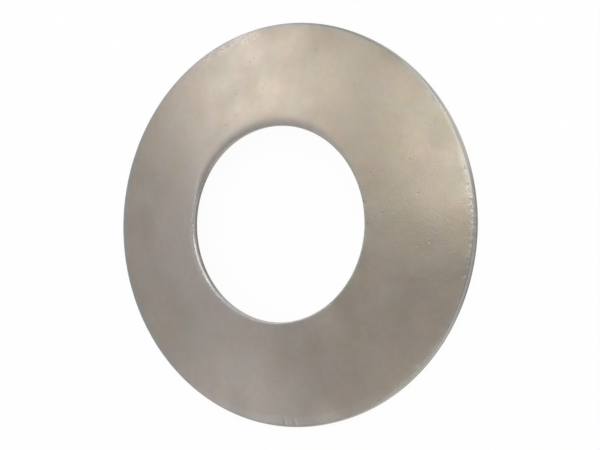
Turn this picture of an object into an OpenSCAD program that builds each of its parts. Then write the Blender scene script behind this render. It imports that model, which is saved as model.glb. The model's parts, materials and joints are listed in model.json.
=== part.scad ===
// Coned friction washer: one ring of spring steel, dished so that its bore edge stands above its rim.
// It lies on its rim, hollow side down. The origin is on the bore axis, level with its lowest edge.

/* [Disc] */
// Outside diameter
outer_d = 50; // [40:0.5:80]
// Diameter of the bore
bore_d = 24.1; // [12:0.1:32]
// Thickness of the sheet, measured square to the cone
sheet_t = 1.1; // [0.8:0.05:3]
// Slope of the cone in degrees, rising from the rim to the bore
cone_angle = 10; // [2:0.5:20]

/* [Edges] */
// Rounding of the bore's upper edge, on which the clamping face bears
bore_top_r = 0.15; // [0.05:0.05:0.5]
// Rounding of the bore's lower edge
bore_bottom_r = 0.5; // [0.05:0.05:1]
// Rounding of the rim's upper edge
rim_top_r = 0.3; // [0.1:0.05:1]
// Rounding of the rim's lower edge, the circle that it stands on
rim_bottom_r = 0.15; // [0.05:0.05:0.5]

/* [Hidden] */
// Steps around the washer, and around each edge rounding
$fn = 144;
edge_fn = 36;

outer_r = outer_d / 2;
bore_r = bore_d / 2;

// The rim and the bore wall are parallel to the axis, so the sheet is taller there than it is thick.
wall_h = sheet_t / cos(cone_angle);
cone_h = (outer_r - bore_r) * tan(cone_angle);

// Half of the angle inside a corner: the sharp ones are the bore's upper edge and the rim's lower edge.
sharp_half = (90 - cone_angle) / 2;
blunt_half = (90 + cone_angle) / 2;

// The largest share of a wall's height that its upper and its lower rounding may take
top_share = 0.5;
bottom_share = 0.4;
bore_top_edge = limited_r(bore_top_r, sharp_half, top_share);
bore_bottom_edge = limited_r(bore_bottom_r, blunt_half, bottom_share);
rim_top_edge = limited_r(rim_top_r, blunt_half, top_share);
rim_bottom_edge = limited_r(rim_bottom_r, sharp_half, bottom_share);

// The rim's lower corner would lie this far below its rounding, which is what touches the ground.
corner_drop = rim_bottom_edge * ((1 + sin(cone_angle)) / cos(cone_angle) - 1);

// Each rounding reaches this far past the straights that it joins, so that no sliver is left between them.
overlap = 0.00002;

// An edge rounding, held to its share of the wall that it runs into
function limited_r(r, half_angle, share) = min(r, share * wall_h * tan(half_angle));

function unit(v) = v / norm(v);

// A convex outline, counterclockwise, with each corner rounded by an arc of its own radius
module rounded_outline(corners, radii) {
    last = len(corners) - 1;
    to_next = [for (i = [0:last]) unit(corners[i == last ? 0 : i + 1] - corners[i])];
    to_previous = [for (i = [0:last]) unit(corners[i == 0 ? last : i - 1] - corners[i])];
    half_angle = [for (i = [0:last]) acos(to_next[i] * to_previous[i]) / 2];
    tangent = [for (i = [0:last]) radii[i] / tan(half_angle[i])];

    polygon([
        for (i = [0:last])
            each [corners[i] + tangent[i] * to_previous[i], corners[i] + tangent[i] * to_next[i]]
    ]);
    for (i = [0:last]) {
        inward = unit(to_next[i] + to_previous[i]);
        translate(corners[i] + inward * radii[i] / sin(half_angle[i]))
            circle(r = radii[i] + overlap, $fn = edge_fn);
    }
}

// Half of the washer's cross-section, with the bore axis as its Y axis
module cone_section() {
    rim_foot = [outer_r, -corner_drop];
    bore_foot = [bore_r, cone_h - corner_drop];
    wall = [0, wall_h];
    rounded_outline(
        corners = [rim_foot, rim_foot + wall, bore_foot + wall, bore_foot],
        radii = [rim_bottom_edge, rim_top_edge, bore_top_edge, bore_bottom_edge]
    );
}

module washer() {
    color("#a59b8d")
        rotate_extrude()
            cone_section();
}

washer();
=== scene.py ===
"""Looks of the coned friction washer: a worn mesh, clouded spring steel, a white studio and a camera."""

import json
import math
import random
from collections import namedtuple

import bpy
from mathutils import Matrix, Vector, noise


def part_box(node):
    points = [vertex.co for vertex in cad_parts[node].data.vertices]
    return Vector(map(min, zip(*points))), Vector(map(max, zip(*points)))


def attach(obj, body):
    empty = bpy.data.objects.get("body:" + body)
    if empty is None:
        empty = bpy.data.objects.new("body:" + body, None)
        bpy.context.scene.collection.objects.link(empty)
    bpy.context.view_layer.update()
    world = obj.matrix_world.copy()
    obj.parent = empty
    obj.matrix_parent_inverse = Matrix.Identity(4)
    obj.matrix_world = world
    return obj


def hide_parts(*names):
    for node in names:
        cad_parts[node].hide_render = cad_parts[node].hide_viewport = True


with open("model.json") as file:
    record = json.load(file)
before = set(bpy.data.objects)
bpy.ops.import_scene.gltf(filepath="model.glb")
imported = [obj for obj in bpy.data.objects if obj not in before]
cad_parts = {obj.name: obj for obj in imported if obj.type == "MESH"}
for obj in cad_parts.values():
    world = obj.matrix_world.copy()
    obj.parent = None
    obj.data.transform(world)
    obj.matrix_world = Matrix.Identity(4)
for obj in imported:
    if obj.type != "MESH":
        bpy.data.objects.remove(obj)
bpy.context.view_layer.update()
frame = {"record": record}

MM = 0.001

# Sizes of the washer, from the frame where it has them and otherwise as its source gives them
mounts = {mount["name"]: mount for mount in frame["record"]["mounts"]}
OUTER_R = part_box("washer")[1].x
BORE_R = mounts["spindle_bore"]["dims"]["r_mm"] * MM
SHEET_T = 1.1 * MM
CONE = math.radians(10)
BORE_TOP_R = 0.15 * MM
BORE_BOTTOM_R = 0.5 * MM
RIM_TOP_R = 0.3 * MM
RIM_BOTTOM_R = 0.15 * MM
WALL_H = SHEET_T / math.cos(CONE)
CONE_H = (OUTER_R - BORE_R) * math.tan(CONE)
CORNER_DROP = RIM_BOTTOM_R * ((1 + math.sin(CONE)) / math.cos(CONE) - 1)
RIM_CORNER_Z = WALL_H - CORNER_DROP

# Mesh steps
STEPS_AROUND = 1000
FACE_STEPS = 52
BACK_STEPS = 10
WALL_STEPS = 5
TOP_EDGE_STEPS = 7
BOTTOM_EDGE_STEPS = 5

# Crown and waves of the sheet
CROWN_RISE = 0.14 * MM
WAVE_LENGTH = 7 * MM
WAVE_DEPTH = 0.02 * MM
LEAST_WAVE = 0.003 * MM
BACK_WAVE_FADE = 3 * MM

# A roll turns an edge of the domed side down: with its full slope over the flat, then less over its width.
Roll = namedtuple("Roll", "flat width slope")
RIM_ROLL = Roll(0, 1.6 * MM, 0.04)
BORE_ROLL = Roll(0.3 * MM, 1.65 * MM, 0.28)
BORE_EDGE_ROLL = Roll(0, 0.32 * MM, 1.4)
BORE_DIP = Roll(0, 0.9 * MM, 0.4)

# Where the bore is rolled: the angles in degrees about the axis where it starts, is full, fades and ends
BORE_ROLL_ARC = (10, 75, 145, 174)
BORE_EDGE_ROLL_ARC = (164, 186, 212, 245)

# A ding is a shallow hollow at an angle and a radius, with half-widths around the axis and along the radius.
Ding = namedtuple("Ding", "turn radius across along depth")
DING_REACH = 2.5
RIM_EDGE_R = OUTER_R - 0.2 * MM
BORE_EDGE_R = BORE_R + 0.1 * MM
NICKS = (
    Ding(270.2, OUTER_R - 0.5 * MM, 0.13 * MM, 0.5 * MM, 0.05 * MM),
    Ding(273.6, OUTER_R - 0.5 * MM, 0.13 * MM, 0.45 * MM, 0.045 * MM),
    Ding(179.4, BORE_EDGE_R, 0.15 * MM, 0.2 * MM, 0.06 * MM),
)

# A row of dings at random within a span of angles; its size and depth are those of the largest ding.
DingRow = namedtuple("DingRow", "count seed span radius spread size depth")
DING_ROWS = (
    DingRow(60, 3, (0, 360), RIM_EDGE_R, 0.15 * MM, 0.5 * MM, 0.02 * MM),
    DingRow(110, 5, (345, 375), RIM_EDGE_R - 0.15 * MM, 0.25 * MM, 0.2 * MM, 0.014 * MM),
    DingRow(90, 7, (95, 125), RIM_EDGE_R - 0.5 * MM, 0.5 * MM, 0.25 * MM, 0.012 * MM),
    DingRow(40, 11, (0, 360), BORE_EDGE_R, 0.1 * MM, 0.35 * MM, 0.025 * MM),
    DingRow(30, 13, (165, 245), BORE_EDGE_R + 0.15 * MM, 0.15 * MM, 0.2 * MM, 0.03 * MM),
)
DING_SIZES = (0.45, 1)
DING_STRETCHES = (0.7, 1.3)
DING_DEPTHS = (0.3, 1)


# Section of the washer

def corner_arc(corner, before, after, radius, steps):
    """Points of the arc that rounds a corner, from the side of the point before it to that of the next."""
    to_before = (before - corner).normalized()
    to_after = (after - corner).normalized()
    half = to_before.angle(to_after) / 2
    centre = corner + (to_before + to_after).normalized() * radius / math.sin(half)
    start = corner + to_before * radius / math.tan(half) - centre
    end = corner + to_after * radius / math.tan(half) - centre
    turn = start.angle(end)
    points = []
    for step in range(steps + 1):
        share = step / steps
        blend = math.sin((1 - share) * turn) * start + math.sin(share * turn) * end
        points.append(centre + blend / math.sin(turn))
    return points


def between(start, end, steps):
    """Points between two ends, closer together towards each of them, without the ends."""
    shares = [(1 - math.cos(math.pi * step / steps)) / 2 for step in range(1, steps)]
    return [start.lerp(end, share) for share in shares]


def section():
    """The closed section: (radius, height) points, each with its shares of the face's and the back's wear."""
    rim_foot = Vector((OUTER_R, -CORNER_DROP))
    bore_foot = Vector((BORE_R, CONE_H - CORNER_DROP))
    rim_top = rim_foot + Vector((0, WALL_H))
    bore_top = bore_foot + Vector((0, WALL_H))
    bore_edge = corner_arc(bore_top, bore_foot, rim_top, BORE_TOP_R, TOP_EDGE_STEPS)
    rim_edge = corner_arc(rim_top, bore_top, rim_foot, RIM_TOP_R, TOP_EDGE_STEPS)
    foot_edge = corner_arc(rim_foot, rim_top, bore_foot, RIM_BOTTOM_R, BOTTOM_EDGE_STEPS)
    back_edge = corner_arc(bore_foot, rim_foot, bore_top, BORE_BOTTOM_R, BOTTOM_EDGE_STEPS)
    domed = bore_edge + between(bore_edge[-1], rim_edge[0], FACE_STEPS) + rim_edge
    rim_wall = between(rim_edge[-1], foot_edge[0], WALL_STEPS)
    hollow = between(foot_edge[-1], back_edge[0], BACK_STEPS)
    bore_wall = between(back_edge[-1], bore_edge[0], WALL_STEPS)

    outline = [(point, 1, 0) for point in domed]
    rim_wall_h = rim_edge[-1].y - foot_edge[0].y
    outline += [(point, (point.y - foot_edge[0].y) / rim_wall_h, 0) for point in rim_wall]
    outline += [(point, 0, 0) for point in foot_edge]
    for point in hollow:
        from_edge = min(OUTER_R - point.x, point.x - BORE_R)
        outline.append((point, 0, min(1, from_edge / BACK_WAVE_FADE)))
    outline += [(point, 0, 0) for point in back_edge]
    bore_wall_h = bore_edge[0].y - back_edge[-1].y
    outline += [(point, (point.y - back_edge[-1].y) / bore_wall_h, 0) for point in bore_wall]
    return outline


# Wear of the washer

def smooth(low, high, value):
    """A smooth step, from 0 at low to 1 at high."""
    share = min(1, max(0, (value - low) / (high - low)))
    return share * share * (3 - 2 * share)


def arc_weight(turn, arc):
    """How far an angle in degrees lies within an arc, from 0 to 1."""
    start, full, fade, end = arc
    along = (turn - start) % 360
    return smooth(0, full - start, along) * (1 - smooth(fade - start, end - start, along))


def scattered_dings(row):
    """The dings of a row, drawn from its seed."""
    draw = random.Random(row.seed)
    dings = []
    for _ in range(row.count):
        across = row.size * draw.uniform(*DING_SIZES)
        dings.append(Ding(
            turn=draw.uniform(*row.span) % 360,
            radius=row.radius + row.spread * draw.uniform(-1, 1),
            across=across,
            along=across * draw.uniform(*DING_STRETCHES),
            depth=row.depth * draw.uniform(*DING_DEPTHS),
        ))
    return dings


def all_dings():
    """The nicks and the dings of every row."""
    dings = list(NICKS)
    for row in DING_ROWS:
        dings += scattered_dings(row)
    return dings


def dings_near(dings, turn):
    """The dings that reach an angle, each with its falloff across it."""
    near = []
    for ding in dings:
        gap = math.radians((turn - ding.turn + 180) % 360 - 180) * ding.radius
        if abs(gap) < DING_REACH * ding.across:
            near.append((ding, math.exp(-(gap / ding.across) ** 2)))
    return near


def crown_rise(radius):
    """How far the slightly crowned sheet stands above the straight cone, between its two edges."""
    share = (radius - BORE_R) / (OUTER_R - BORE_R)
    return CROWN_RISE * (1 - (2 * share - 1) ** 2)


def rolled_down(gap, roll, weight):
    """How far a roll lowers the face at a distance from its edge; the weight scales the roll's whole form."""
    if weight == 0:
        return 0
    flat = weight * roll.flat
    fade = weight * (roll.width - roll.flat)
    left = min(1, max(0, 1 - (gap - flat) / fade))
    return roll.slope * (max(0, flat - gap) + fade * left ** 3 / 3)


def worn_column(outline, turn, near):
    """The section's points at an angle in degrees, in space, with the crown, waves, rolls and near dings."""
    bore_weight = arc_weight(turn, BORE_ROLL_ARC)
    bore_edge_weight = arc_weight(turn, BORE_EDGE_ROLL_ARC)
    cosine = math.cos(math.radians(turn))
    sine = math.sin(math.radians(turn))
    column = []
    for point, domed_share, back_share in outline:
        place = Vector((point.x * cosine, point.x * sine, point.y))
        wave = LEAST_WAVE + WAVE_DEPTH * (1 + noise.noise(place / WAVE_LENGTH)) / 2
        bore_gap = point.x - BORE_R
        drop = wave + rolled_down(OUTER_R - point.x, RIM_ROLL, 1)
        drop += rolled_down(bore_gap, BORE_EDGE_ROLL, bore_edge_weight)
        drop += rolled_down(bore_gap, BORE_DIP, bore_edge_weight)
        drop += rolled_down(bore_gap, BORE_ROLL, bore_weight)
        for ding, weight in near:
            drop += ding.depth * weight * math.exp(-((point.x - ding.radius) / ding.along) ** 2)
        place.z += crown_rise(point.x) + back_share * wave - domed_share * drop
        column.append(place)
    return column


# Mesh of the washer

def washer_mesh(name):
    """The section turned about the bore axis, as one closed mesh of quads."""
    outline = section()
    rings = len(outline)
    dings = all_dings()
    points = []
    for step in range(STEPS_AROUND):
        turn = 360 * step / STEPS_AROUND
        points += worn_column(outline, turn, dings_near(dings, turn))
    quads = []
    for step in range(STEPS_AROUND):
        here = step * rings
        there = (step + 1) % STEPS_AROUND * rings
        for ring in range(rings):
            after = (ring + 1) % rings
            quads.append((here + ring, here + after, there + after, there + ring))
    mesh = bpy.data.meshes.new(name)
    mesh.from_pydata(points, [], quads)
    mesh.validate()
    mesh.shade_smooth()
    return mesh


washer = bpy.data.objects.new("coned_washer", washer_mesh("coned_washer"))
bpy.context.scene.collection.objects.link(washer)
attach(washer, "root")
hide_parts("washer")


# Material nodes

def new_material(name):
    """A material with nodes, its node tree and its main shader."""
    material = bpy.data.materials.new(name)
    material.use_nodes = True
    return material, material.node_tree, material.node_tree.nodes["Principled BSDF"]


def add(tree, kind, inputs, **settings):
    """Adds a node with its settings; each input is linked where it is given a socket, and otherwise set."""
    node = tree.nodes.new(kind)
    for setting, value in settings.items():
        setattr(node, setting, value)
    for name, value in inputs.items():
        if isinstance(value, bpy.types.NodeSocket):
            tree.links.new(value, node.inputs[name])
        else:
            node.inputs[name].default_value = value
    return node


def maths(tree, operation, first, second):
    return add(tree, "ShaderNodeMath", {0: first, 1: second}, operation=operation).outputs[0]


def vector_maths(tree, operation, first, second):
    return add(tree, "ShaderNodeVectorMath", {0: first, 1: second}, operation=operation)


def stepped(tree, value, low, high, bottom=0, top=1):
    """A value mapped with a smooth step, from bottom at low to top at high."""
    inputs = {"Value": value, "From Min": low, "From Max": high, "To Min": bottom, "To Max": top}
    return add(tree, "ShaderNodeMapRange", inputs, interpolation_type="SMOOTHSTEP").outputs["Result"]


def product(tree, *factors):
    result = factors[0]
    for factor in factors[1:]:
        result = maths(tree, "MULTIPLY", result, factor)
    return result


def largest(tree, *values):
    result = values[0]
    for value in values[1:]:
        result = maths(tree, "MAXIMUM", result, value)
    return result


def mixed(tree, share, first, second):
    """Two colours, mixed."""
    return add(tree, "ShaderNodeMix", {0: share, 6: first, 7: second}, data_type="RGBA").outputs[2]


def shaded(tree, colour, factor):
    """A colour times a value."""
    return add(tree, "ShaderNodeVectorMath", {0: colour, "Scale": factor}, operation="SCALE").outputs[0]


# Soft noise: the size of its blotches, their detail, a shift, and the values where it starts and is full
Pattern = namedtuple("Pattern", "size detail shift low high", defaults=(0, 1))


def soft_noise(tree, place, pattern):
    moved = vector_maths(tree, "ADD", place, pattern.shift).outputs[0]
    inputs = {"Vector": moved, "Scale": 1 / pattern.size, "Detail": pattern.detail}
    return add(tree, "ShaderNodeTexNoise", inputs).outputs["Fac"]


def patterned(tree, place, pattern, bottom=0, top=1):
    """A pattern of soft noise, from bottom where it starts to top where it is full."""
    return stepped(tree, soft_noise(tree, place, pattern), pattern.low, pattern.high, bottom, top)


def heading(azimuth):
    """The level direction at an angle in degrees about the axis."""
    return Vector((math.cos(math.radians(azimuth)), math.sin(math.radians(azimuth)), 0))


# A part of the ring: its middle direction, and the angles to each side where it is full and where it ends
Sector = namedtuple("Sector", "middle full end")


def in_sector(tree, where, sector):
    """1 where a sector is full, smooth to 0 where it ends."""
    cosine = vector_maths(tree, "DOT_PRODUCT", where.outward, heading(sector.middle)).outputs["Value"]
    return stepped(tree, cosine, math.cos(math.radians(sector.end)), math.cos(math.radians(sector.full)))


def in_sectors(tree, where, sectors):
    return largest(tree, *(in_sector(tree, where, sector) for sector in sectors))


# A band beside an edge: its nearest and its farthest distance, and the distance beyond each where it ends
Band = namedtuple("Band", "near far soft")


def in_band(tree, gap, band):
    """1 between a band's two distances from an edge, smooth to 0 where it ends."""
    inner = stepped(tree, gap, band.near - band.soft, band.near)
    outer = stepped(tree, gap, band.far + band.soft, band.far)
    return product(tree, inner, outer)


# Places on the steel, in mm. Lift is the height over the hollow side, as a share of the height of the walls.
Where = namedtuple("Where", "place level outward rim_gap bore_gap edge_gap lift")


def on_the_washer(tree):
    coordinates = add(tree, "ShaderNodeTexCoord", {}).outputs["Object"]
    place = vector_maths(tree, "MULTIPLY", coordinates, (1 / MM, 1 / MM, 1 / MM)).outputs[0]
    level = vector_maths(tree, "MULTIPLY", place, (1, 1, 0)).outputs[0]
    radius = vector_maths(tree, "LENGTH", level, (0, 0, 0)).outputs["Value"]
    rim_gap = maths(tree, "SUBTRACT", OUTER_R / MM, radius)
    bore_gap = maths(tree, "SUBTRACT", radius, BORE_R / MM)
    height = add(tree, "ShaderNodeSeparateXYZ", {0: place}).outputs["Z"]
    over_back = maths(tree, "SUBTRACT", height, product(tree, rim_gap, math.tan(CONE)))
    return Where(
        place=place,
        level=level,
        outward=vector_maths(tree, "NORMALIZE", level, (0, 0, 0)).outputs[0],
        rim_gap=rim_gap,
        bore_gap=bore_gap,
        edge_gap=maths(tree, "MINIMUM", rim_gap, bore_gap),
        lift=product(tree, over_back, MM / WALL_H),
    )


def distance_from(tree, where, azimuth, radius):
    """The level distance from the place at an angle in degrees and a radius in mm."""
    return vector_maths(tree, "DISTANCE", where.level, heading(azimuth) * radius).outputs["Value"]


# Colour of the faces, in clouds, and its brightness, partly with painted light and shade

BEIGE = (0.405, 0.352, 0.281, 1)
PINK = (0.412, 0.349, 0.299, 1)
GREEN_GREY = (0.397, 0.357, 0.303, 1)
PINK_CLOUDS = Pattern(3.2, 5, (0, 0, 0), 0.37, 0.63)
GREEN_CLOUDS = Pattern(2.8, 5, (31, 7, 3), 0.4, 0.66)
WIDE_HAZE = Pattern(4, 4, (5, 17, 2), 0.3, 0.7)
FINE_HAZE = Pattern(0.8, 2, (2, 8, 13), 0.3, 0.7)
HAZE_RANGE = (0.98, 1.02)

# Larger patches of brightness: partly the steel's own clouds, partly painted light and painted shade that
# lighten or dim the lamps' reflections, such as the painted shade at 24° near the rim. Each has the angle in
# degrees, the radius and the reach in mm, and the change of brightness
CLOUDS_AND_PAINTED_LIGHT = (
    (10, 21.5, 5, 0.12), (45, 23, 5, 0.12), (97, 21.5, 3.5, 0.08), (325, 15.5, 5, 0.12), (300, 13.5, 4, 0.2),
    (285, 24.2, 3.5, 0.2), (103, 24, 4, 0.08), (24, 24, 4, -0.16), (75, 22.5, 5, -0.09), (128, 18, 3, -0.06),
    (255, 23, 4, -0.09), (275, 16, 3, -0.06), (345, 24, 3.5, -0.1), (22, 14, 3.5, -0.08),
)


def clouded(tree, where):
    """Beige with clouds of pink and greenish grey."""
    colour = mixed(tree, patterned(tree, where.place, PINK_CLOUDS), BEIGE, PINK)
    return mixed(tree, patterned(tree, where.place, GREEN_CLOUDS), colour, GREEN_GREY)


def haze_and_painted_light(tree, where):
    """The brightness of the colour, about 1: random haze, times the larger patches, partly painted light and
    shade.
    """
    wide = patterned(tree, where.place, WIDE_HAZE, *HAZE_RANGE)
    brightness = product(tree, wide, patterned(tree, where.place, FINE_HAZE, *HAZE_RANGE))
    for azimuth, radius, reach, change in CLOUDS_AND_PAINTED_LIGHT:
        gap = distance_from(tree, where, azimuth, radius)
        brightness = product(tree, brightness, stepped(tree, gap, 0, reach, 1 + change, 1))
    return brightness


# Pits: cells of a random pattern, more of them where the finish is coarse, and some larger ones

COARSE_SECTOR = Sector(3, 15, 45)
CELLS_PER_MM = 1.25
FINE_CHANCE = 0.88
COARSE_CHANCE = 0.4
PIT_CORE = 0.02
PIT_SIZES = (0.08, 0.18)
LARGE_PIT_FADE = (0.2, 0.05)
PIT_MARGIN = (0.5, 1)

# Larger pits: the angle in degrees and the radius in mm
LARGE_PITS = (
    (100.8, 21.3), (102.5, 20.9), (105.1, 17.8), (110.9, 17.5), (97.3, 17), (113.4, 14.8), (120.7, 14.5),
    (77.3, 21.8), (38.5, 19.8), (24.6, 14.1), (22.9, 18.9), (10.3, 18.8), (4.4, 14.3), (353.4, 20),
    (351.8, 18.7),
)


def pitted(tree, where, coarse):
    """1 in the middle of a pit, 0 outside it; a cell has a pit where its random value is over the chance."""
    cells = add(tree, "ShaderNodeTexVoronoi", {"Vector": where.place, "Scale": CELLS_PER_MM})
    random_values = add(tree, "ShaderNodeSeparateColor", {0: cells.outputs["Color"]}).outputs
    least = stepped(tree, coarse, 0, 1, FINE_CHANCE, COARSE_CHANCE)
    chosen = maths(tree, "GREATER_THAN", random_values[0], least)
    size = stepped(tree, random_values[1], 0, 1, *PIT_SIZES)
    pit = maths(tree, "SUBTRACT", 1, stepped(tree, cells.outputs["Distance"], PIT_CORE, size))
    pit = product(tree, pit, chosen)
    for azimuth, radius in LARGE_PITS:
        gap = distance_from(tree, where, azimuth, radius)
        pit = largest(tree, pit, stepped(tree, gap, *LARGE_PIT_FADE))
    return product(tree, pit, stepped(tree, where.edge_gap, *PIT_MARGIN))


# Edges: greyer, with scuffs in grains, and with sheens, highlights, reflections and a shadow painted into
# their colour. A fade is where a thing starts and where it is full.

EDGE_GREY = (0.387, 0.366, 0.336, 1)
EDGE_COOL = (0.349, 0.373, 0.375, 1)
EDGE_WARM = (0.39, 0.362, 0.314, 1)
# Brighter colour of the top scuff, partly a painted glint on its grains
SCUFF_AND_GLINT_COLOUR = (0.505, 0.445, 0.395, 1)
# Colour of the painted highlight on the rim and of the side scuff's painted glints
PAINTED_RIM_HIGHLIGHT = (0.53, 0.5, 0.44, 1)
# Paler grey of painted reflections and highlights on the edges
PAINTED_REFLECTION_GREY = (0.46, 0.436, 0.385, 1)
COOL_SECTOR = Sector(190, 25, 50)
EDGE_FADE = (0.9, 0.2)

SCUFF_PATCHES = Pattern(1.3, 2, (4, 4, 1), 0.42, 0.56)
SCUFF_GRAINS = Pattern(0.25, 2, (9, 4, 6), 0.4, 0.64)
TOP_SCUFF_GLINT_SECTOR = Sector(109, 8, 15)
TOP_SCUFF_GLINT_BAND = Band(0.5, 1.2, 0.4)
SIDE_SCUFF_GLINT_SECTOR = Sector(7, 3, 17)
SIDE_SCUFF_GLINT_BAND = Band(0.2, 0.35, 0.15)

# Painted light and shade on the rim, in its colour: its sector, its fades with the distance from the rim and
# with the lift, and its strength
PaintedRimLight = namedtuple("PaintedRimLight", "sector gap_fade lift_fade strength")
# Painted sheens: the rim's edge and upper wall towards +X made brighter, as if lit
EDGE_PAINTED_SHEEN = PaintedRimLight(Sector(13, 3, 8), (0.9, 0.2), (0.2, 0.45), 0.9)
WALL_PAINTED_SHEEN = PaintedRimLight(Sector(23, 5, 12), (0.4, 0.2), (0.2, 0.45), 0.9)
# Painted reflection: a pale line on the rim's upper edge towards the lower right
TOP_EDGE_PAINTED_REFLECTION = PaintedRimLight(Sector(320, 24, 38), (0.25, 0.12), (0.6, 0.8), 0.6)
# Painted shadow: a dark line at the foot of the rim's wall towards the lower right
PAINTED_FOOT_SHADOW = PaintedRimLight(Sector(316, 22, 38), (0.14, 0.03), (0.6, 0.25), 0.75)

# Painted highlight: a pale edge of the bore towards the lower right
BORE_PAINTED_HIGHLIGHT_SECTOR = Sector(315, 35, 55)
BORE_PAINTED_HIGHLIGHT_FADE = (0.5, 0.15)
BORE_PAINTED_HIGHLIGHT_STRENGTH = 0.5
# Painted sheen: a pale band on the face beside the rim at the bottom
FACE_PAINTED_SHEEN_SECTOR = Sector(276, 16, 32)
FACE_PAINTED_SHEEN_BAND = Band(0.5, 1.1, 0.4)
FACE_PAINTED_SHEEN_STRENGTH = 0.35


def greyer_edges(tree, where, colour):
    rim_colour = mixed(tree, in_sector(tree, where, COOL_SECTOR), EDGE_GREY, EDGE_COOL)
    colour = mixed(tree, stepped(tree, where.rim_gap, *EDGE_FADE), colour, rim_colour)
    return mixed(tree, stepped(tree, where.bore_gap, *EDGE_FADE), colour, EDGE_WARM)


def scuffs_and_glints(tree, where):
    """The scuffs of the rim, brighter in colour as painted glints on their grains: the one towards +Y, at the
    picture's top, and the one towards +X.
    """
    grains = patterned(tree, where.place, SCUFF_GRAINS)
    patches = patterned(tree, where.place, SCUFF_PATCHES)
    top_band = in_band(tree, where.rim_gap, TOP_SCUFF_GLINT_BAND)
    top = product(tree, in_sector(tree, where, TOP_SCUFF_GLINT_SECTOR), top_band, patches, grains)
    side_band = in_band(tree, where.rim_gap, SIDE_SCUFF_GLINT_BAND)
    side = product(tree, in_sector(tree, where, SIDE_SCUFF_GLINT_SECTOR), side_band, grains)
    return top, side


# Painted light on the rim, within a sector, near the rim and high on its wall
def painted_rim_light(tree, where, rim_light):
    near_rim = stepped(tree, where.rim_gap, *rim_light.gap_fade)
    lifted = stepped(tree, where.lift, *rim_light.lift_fade)
    return product(tree, in_sector(tree, where, rim_light.sector), near_rim, lifted, rim_light.strength)


def painted_reflections(tree, where):
    """Painted reflections and highlights in paler grey: on the rim's upper edge, the bore's edge and the face
    beside the rim.
    """
    near_bore = stepped(tree, where.bore_gap, *BORE_PAINTED_HIGHLIGHT_FADE)
    bore = product(tree, in_sector(tree, where, BORE_PAINTED_HIGHLIGHT_SECTOR), near_bore, BORE_PAINTED_HIGHLIGHT_STRENGTH)
    face_band = in_band(tree, where.rim_gap, FACE_PAINTED_SHEEN_BAND)
    face = product(tree, in_sector(tree, where, FACE_PAINTED_SHEEN_SECTOR), face_band, FACE_PAINTED_SHEEN_STRENGTH)
    return largest(tree, painted_rim_light(tree, where, TOP_EDGE_PAINTED_REFLECTION), bore, face)


# Cut walls of the rim and the bore in two sectors: partly their own duller colour, partly painted shade.
# Their lower part is painted darker still, as shade, with a ragged edge

# Duller colour of the cut walls, partly painted shade
CUT_WALL_AND_SHADE = (0.36, 0.345, 0.33, 1)
# Painted shade of the walls' lower part and of the rim's foot
PAINTED_WALL_SHADE = (0.2, 0.19, 0.18, 1)
CUT_WALL_SHADE_SECTORS = (Sector(352, 16, 30), Sector(195, 50, 75))
WALL_SHADE_SECTORS = (Sector(354, 14, 24), Sector(185, 28, 48))
WALL_GAP_FADE = (0.14, 0.03)
WALL_LIFT_FADE = (0.93, 0.8)
WALL_SHADE_LIFT_FADE = (0.9, 0.4)
SHADE_EDGE_STRETCH = (5, 5, 0.4)
SHADE_EDGE_STREAKS = Pattern(1, 2, (0, 0, 0), 0.35, 0.65)
SHADE_EDGE_RANGE = (-0.12, 0.12)


def cut_walls_and_painted_shade(tree, where, colour):
    near_edge = stepped(tree, where.edge_gap, *WALL_GAP_FADE)
    below_top = stepped(tree, where.lift, *WALL_LIFT_FADE)
    wall = product(tree, in_sectors(tree, where, CUT_WALL_SHADE_SECTORS), near_edge, below_top)
    stretched = vector_maths(tree, "MULTIPLY", where.place, SHADE_EDGE_STRETCH).outputs[0]
    streak = patterned(tree, stretched, SHADE_EDGE_STREAKS, *SHADE_EDGE_RANGE)
    ragged_lift = maths(tree, "ADD", where.lift, streak)
    # The lower part of the walls is painted darker, as shade, with a ragged edge
    lower_shade = product(tree, in_sectors(tree, where, WALL_SHADE_SECTORS), stepped(tree, ragged_lift, *WALL_SHADE_LIFT_FADE))
    return mixed(tree, wall, colour, mixed(tree, lower_shade, CUT_WALL_AND_SHADE, PAINTED_WALL_SHADE))


# Polish, where the bore's upper edge is worn down: a lower roughness, and a brighter colour that is a painted
# highlight on the edge's ridge, strongest in the bright sector

POLISH_AND_PAINTED_HIGHLIGHT = (0.57, 0.55, 0.52, 1)
POLISH_GAP_FADE = (0.4, 0.2)
POLISH_LIFT_FADE = (0.6, 0.8)
BRIGHT_SECTOR = Sector(204, 9, 22)
DULL_SECTOR = Sector(215, 40, 62)
DULL_STRENGTH = 0.45


def polish_and_painted_highlight(tree, where):
    """1 where the edge is fully polished and its highlight painted, 0 where it isn't."""
    near_bore = stepped(tree, where.bore_gap, *POLISH_GAP_FADE)
    worn_edge = product(tree, near_bore, stepped(tree, where.lift, *POLISH_LIFT_FADE))
    dull = product(tree, in_sector(tree, where, DULL_SECTOR), DULL_STRENGTH)
    return product(tree, worn_edge, largest(tree, in_sector(tree, where, BRIGHT_SECTOR), dull))


# Spring steel

PITTED = (0.27, 0.235, 0.2, 1)
PIT_TINT = 0.3
GLOSS_CLOUDS = Pattern(4, 3, (1, 5, 8), 0.3, 0.7)
ROUGHNESS_RANGE = (0.35, 0.41)
POLISH_GLOSS = 0.08
FINISH_GRAIN = Pattern(0.22, 2, (3, 1, 9))
FINE_GRAIN_H = 0.3
COARSE_GRAIN_H = 0.9
PIT_DEPTH = 0.9
SCUFF_H = 0.8
BUMP_H = 0.012 * MM


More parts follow.
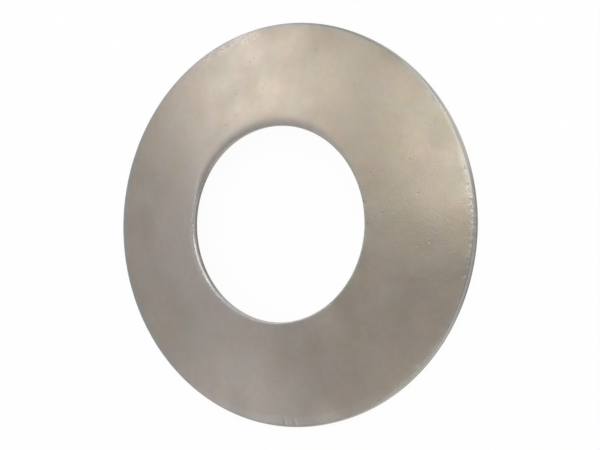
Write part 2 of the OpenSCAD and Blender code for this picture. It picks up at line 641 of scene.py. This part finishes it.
def spring_steel():
    """Satin steel, clouded in beige, pink and greenish grey, with pits, worn edges and cut walls, and with
    highlights, sheens, reflections and shade painted into its colour.
    """
    material, tree, shader = new_material("spring_steel")
    where = on_the_washer(tree)
    coarse = in_sector(tree, where, COARSE_SECTOR)
    pit = pitted(tree, where, coarse)
    top_scuff_and_glint, side_scuff_and_glint = scuffs_and_glints(tree, where)
    painted_sheens = [painted_rim_light(tree, where, rim_light) for rim_light in (EDGE_PAINTED_SHEEN, WALL_PAINTED_SHEEN)]
    polish_and_highlight = polish_and_painted_highlight(tree, where)

    colour = mixed(tree, product(tree, pit, PIT_TINT), clouded(tree, where), PITTED)
    colour = greyer_edges(tree, where, colour)
    # The top scuff, with its painted glints
    colour = mixed(tree, top_scuff_and_glint, colour, SCUFF_AND_GLINT_COLOUR)
    # Painted highlight on the rim's edge and wall, with the side scuff's painted glints
    colour = mixed(tree, largest(tree, side_scuff_and_glint, *painted_sheens), colour, PAINTED_RIM_HIGHLIGHT)
    # Painted reflections and highlights in paler grey
    colour = mixed(tree, painted_reflections(tree, where), colour, PAINTED_REFLECTION_GREY)
    colour = cut_walls_and_painted_shade(tree, where, colour)
    # Painted shadow at the foot of the rim's wall
    colour = mixed(tree, painted_rim_light(tree, where, PAINTED_FOOT_SHADOW), colour, PAINTED_WALL_SHADE)
    # Painted highlight on the polished edge of the bore
    colour = mixed(tree, polish_and_highlight, colour, POLISH_AND_PAINTED_HIGHLIGHT)
    tree.links.new(shaded(tree, colour, haze_and_painted_light(tree, where)), shader.inputs["Base Color"])

    roughness = patterned(tree, where.place, GLOSS_CLOUDS, *ROUGHNESS_RANGE)
    roughness = maths(tree, "SUBTRACT", roughness, product(tree, polish_and_highlight, POLISH_GLOSS))
    tree.links.new(roughness, shader.inputs["Roughness"])
    shader.inputs["Metallic"].default_value = 1

    grain_h = stepped(tree, coarse, 0, 1, FINE_GRAIN_H, COARSE_GRAIN_H)
    height = product(tree, soft_noise(tree, where.place, FINISH_GRAIN), grain_h)
    height = maths(tree, "SUBTRACT", height, product(tree, pit, PIT_DEPTH))
    height = maths(tree, "ADD", height, product(tree, largest(tree, top_scuff_and_glint, side_scuff_and_glint), SCUFF_H))
    bump = add(tree, "ShaderNodeBump", {"Strength": 1, "Distance": BUMP_H, "Height": height})
    tree.links.new(bump.outputs["Normal"], shader.inputs["Normal"])
    return material


washer.data.materials.append(spring_steel())


# Floor and backdrop: they take the washer's shadow, and are seen and mirrored as mostly white

FLOOR_R = 2.0
BACKDROP_H = 0.7
STAGE_STEPS = 96
PAPER = (0.95, 0.95, 0.95, 1)
GLOW_SHARE = 0.95
GLOW_RAYS = ("Is Camera Ray", "Is Glossy Ray", "Is Transmission Ray")


def studio_white():
    """White paper that glows for the rays that see or mirror it, and not for those that light the washer."""
    material, tree, shader = new_material("studio_white")
    shader.inputs["Base Color"].default_value = PAPER
    shader.inputs["Roughness"].default_value = 1
    shader.inputs["Specular IOR Level"].default_value = 0
    rays = add(tree, "ShaderNodeLightPath", {}).outputs
    share = product(tree, largest(tree, *(rays[kind] for kind in GLOW_RAYS)), GLOW_SHARE)
    glow = add(tree, "ShaderNodeEmission", {"Strength": 1}).outputs[0]
    both = add(tree, "ShaderNodeMixShader", {0: share, 1: shader.outputs[0], 2: glow}).outputs[0]
    tree.links.new(both, tree.nodes["Material Output"].inputs["Surface"])
    return material


def stage_piece(name, material):
    """The object that was just added, as a piece of the stage."""
    piece = bpy.context.object
    piece.name = name
    piece.data.materials.append(material)


white = studio_white()
bpy.ops.mesh.primitive_circle_add(vertices=STAGE_STEPS, radius=FLOOR_R, fill_type="NGON", location=(0, 0, 0))
stage_piece("floor", white)
bpy.ops.mesh.primitive_cylinder_add(
    vertices=STAGE_STEPS,
    radius=FLOOR_R,
    depth=BACKDROP_H,
    end_fill_type="NOTHING",
    location=(0, 0, BACKDROP_H / 2),
)
stage_piece("backdrop", white)


# Light

WORLD_WHITE = (1, 1, 1, 1)
WORLD_STRENGTH = 0.42
LAMP_DISTANCE = 0.6
LAMP_W = 0.2

# A square lamp that faces the washer: azimuth from +X towards +Y and elevation, in degrees, and power
Softbox = namedtuple("Softbox", "name azimuth elevation power colour")
SOFTBOXES = (
    Softbox("key_softbox", 148, 44, 0.27, (1, 1, 1)),
    Softbox("upper_softbox", 130, 54, 0.198, (1, 0.99, 0.92)),
    Softbox("top_softbox", 64, 73, 0.458, (1, 0.985, 0.9)),
    Softbox("back_softbox", 131, 21, 0.26, (0.85, 0.86, 1)),
    Softbox("right_softbox_1", 62, 32, 0.55, (1, 1, 1)),
    Softbox("right_softbox_2", 24, 39, 0.45, (1, 1, 1)),
    Softbox("front_softbox", 279, 51, 0.33, (1, 0.95, 0.92)),
    Softbox("left_softbox", 180, 50, 0.179, (0.65, 0.71, 1)),
    Softbox("fill_softbox", 219, 39, 0.182, (0.83, 0.86, 1)),
)


def add_lamp(softbox):
    lamp = bpy.data.lights.new(softbox.name, "AREA")
    lamp.shape = "SQUARE"
    lamp.size = LAMP_W
    lamp.energy = softbox.power
    lamp.color = softbox.colour
    lamp_object = bpy.data.objects.new(softbox.name, lamp)
    bpy.context.scene.collection.objects.link(lamp_object)
    rise = math.radians(softbox.elevation)
    level = heading(softbox.azimuth + 90)
    towards = math.cos(rise) * heading(softbox.azimuth) + Vector((0, 0, math.sin(rise)))
    axes = Matrix((level, towards.cross(level), towards)).transposed().to_4x4()
    lamp_object.matrix_world = Matrix.Translation(towards * LAMP_DISTANCE) @ axes


world = bpy.data.worlds.new("studio")
bpy.context.scene.world = world
world.use_nodes = True
world.node_tree.nodes["Background"].inputs["Color"].default_value = WORLD_WHITE
world.node_tree.nodes["Background"].inputs["Strength"].default_value = WORLD_STRENGTH
for softbox in SOFTBOXES:
    add_lamp(softbox)


# Camera: it looks down on the lying washer, with the washer's +Y up in the picture and its +X to the right

IMAGE_W = 600
FOCAL_PX = 1240.4
VIEW_TURN = math.radians(29.196)
VIEW_TIP = math.radians(1.363)
CAMERA_DISTANCE = 153.56 * MM
CAMERA_RIGHT = 1.901 * MM
CAMERA_UP = -0.0865 * MM
CLIP_START = 1 * MM


def photo_camera():
    right = Vector((math.cos(VIEW_TURN), 0, -math.sin(VIEW_TURN)))
    back = Vector((
        math.cos(VIEW_TIP) * math.sin(VIEW_TURN),
        -math.sin(VIEW_TIP),
        math.cos(VIEW_TIP) * math.cos(VIEW_TURN),
    ))
    up = back.cross(right)
    place = Vector((0, 0, RIM_CORNER_Z))
    place += CAMERA_RIGHT * right + CAMERA_UP * up + CAMERA_DISTANCE * back
    camera = bpy.data.cameras.new("camera")
    camera.sensor_fit = "HORIZONTAL"
    camera.lens = camera.sensor_width * FOCAL_PX / IMAGE_W
    camera.clip_start = CLIP_START
    camera_object = bpy.data.objects.new("camera", camera)
    bpy.context.scene.collection.objects.link(camera_object)
    camera_object.matrix_world = Matrix.Translation(place) @ Matrix((right, up, back)).transposed().to_4x4()
    bpy.context.scene.camera = camera_object


photo_camera()
bpy.context.scene.view_settings.view_transform = "Standard"
